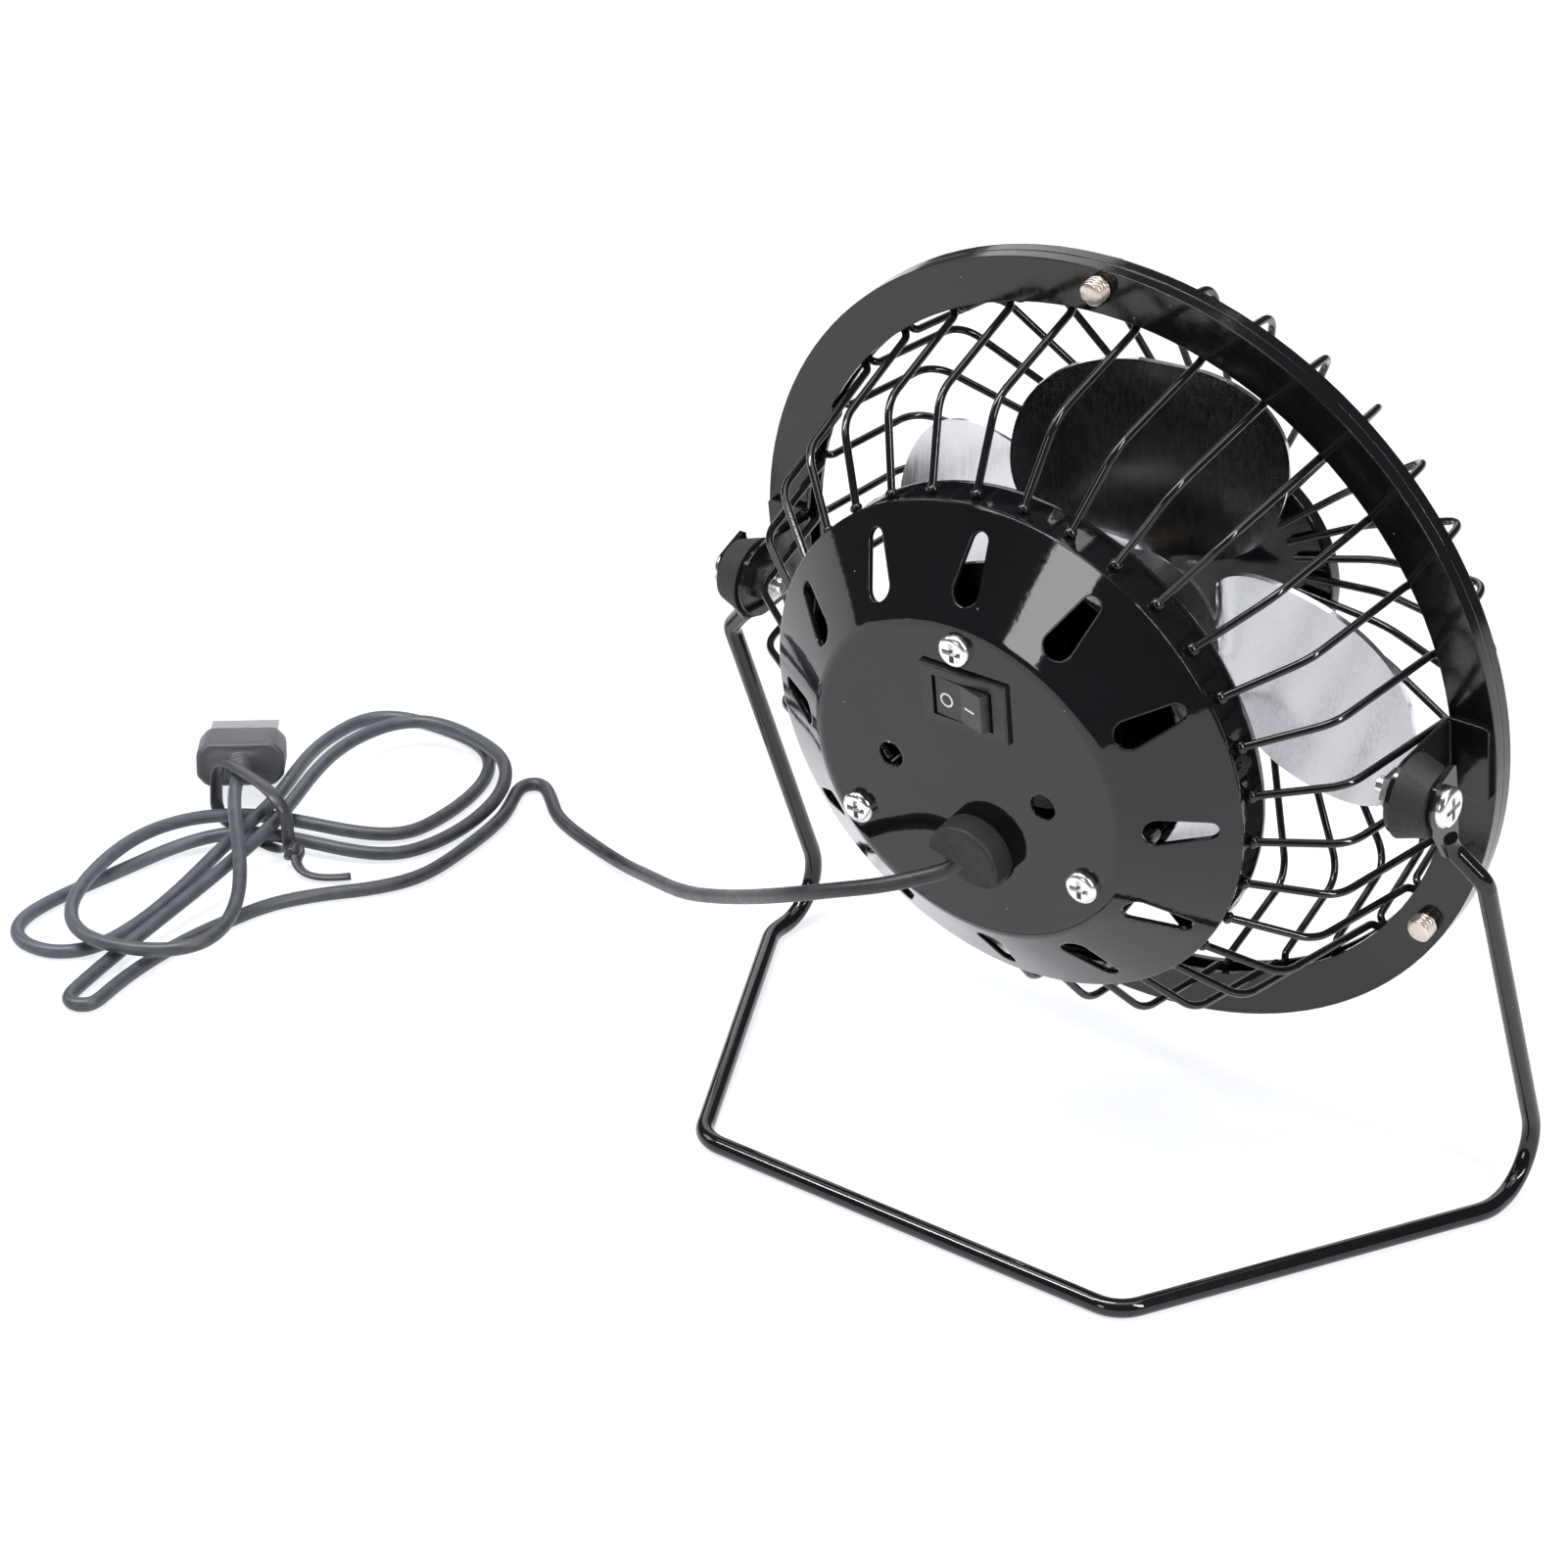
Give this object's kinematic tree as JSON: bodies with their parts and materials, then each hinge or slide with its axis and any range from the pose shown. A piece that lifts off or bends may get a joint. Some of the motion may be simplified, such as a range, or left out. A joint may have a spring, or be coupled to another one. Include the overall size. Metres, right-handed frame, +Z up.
{
  "type": "small desk fan",
  "caption": "Small metal desk fan with a round wire cage that tilts between the legs of a bent rod stand, a rear housing with a rocker switch and a cord with a flat plug.",
  "frame": {"origin": "on the floor, under the middle of the tilt axis", "axes": "+Z up, +Y the way the air blows, +X to the right seen from behind"},
  "size_m": [0.26, 0.1187, 0.1426],
  "materials": {
    "black_paint": "gloss black enamel",
    "blade_metal": "brushed sheet with fine scratches",
    "zinc": "bright zinc plate",
    "steel": "plain steel",
    "black_rubber": "matte black rubber",
    "cord_jacket": "satin dark grey jacket",
    "tie_plastic": "satin black plastic strap",
    "grip_plastic": "matte grey moulding",
    "shell_metal": "bright plated shell",
    "tongue_plastic": "white insulator",
    "switch_plastic": "black moulding",
    "hub_plastic": "black moulding",
    "bronze": "sintered bronze and copper",
    "magnet": "dark ferrite",
    "carbon": "pressed carbon"
  },
  "bodies": {
    "stand": {"stand_rod": "black_paint", "cord_lead": "cord_jacket", "cord_hank": "cord_jacket", "cord_tie": "tie_plastic", "plug_grip": "grip_plastic", "plug_shell": "shell_metal", "plug_tongue": "tongue_plastic"},
    "head": {"rear_ring": "black_paint", "front_ring": "black_paint", "rear_wires": "black_paint", "front_wires": "black_paint", "front_disc": "black_paint", "motor_cup": "black_paint", "rear_cover": "black_paint", "pivot_bracket_left": "black_paint", "pivot_bracket_right": "black_paint", "pivot_bush_left": "black_rubber", "pivot_bush_right": "black_rubber", "cable_grommet": "black_rubber", "cover_screw_1": "zinc", "cover_screw_2": "zinc", "cover_screw_3": "zinc", "guard_screw_1": "zinc", "guard_screw_2": "zinc", "guard_screw_3": "zinc", "pivot_screw_left": "zinc", "pivot_screw_right": "zinc", "pivot_nut_left": "zinc", "pivot_nut_right": "zinc", "motor_screw_1": "zinc", "motor_screw_2": "zinc", "switch_body": "switch_plastic", "switch_terminals": "bronze", "motor_bearing_front": "bronze", "motor_bearing_rear": "bronze", "motor_can": "steel", "motor_cap": "steel", "motor_magnets": "magnet", "motor_brushes": "carbon"},
    "fan": {"motor_shaft": "steel", "armature_core": "steel", "armature_windings": "bronze", "commutator": "bronze", "fan_hub": "hub_plastic", "fan_washer": "zinc", "fan_blades": "blade_metal"},
    "rocker": {"switch_rocker": "switch_plastic"}
  },
  "joints": [
    {"name": "head_tilt", "type": "hinge", "parent": "stand", "child": "head", "pos_m": [0, 0, 0.077], "axis": [1, 0, 0], "range_deg": [-30, 81], "deforming": ["cord_lead"]},
    {"name": "fan_spin", "type": "hinge", "parent": "head", "child": "fan", "pos_m": [0, 0.0002, 0.07572], "axis": [0, -0.9877, -0.1564], "continuous": true},
    {"name": "rocker_press", "type": "hinge", "parent": "head", "child": "rocker", "pos_m": [0.001, -0.02882, 0.0857], "axis": [0, -0.1564, 0.9877], "range_deg": [0, 20]}
  ]
}
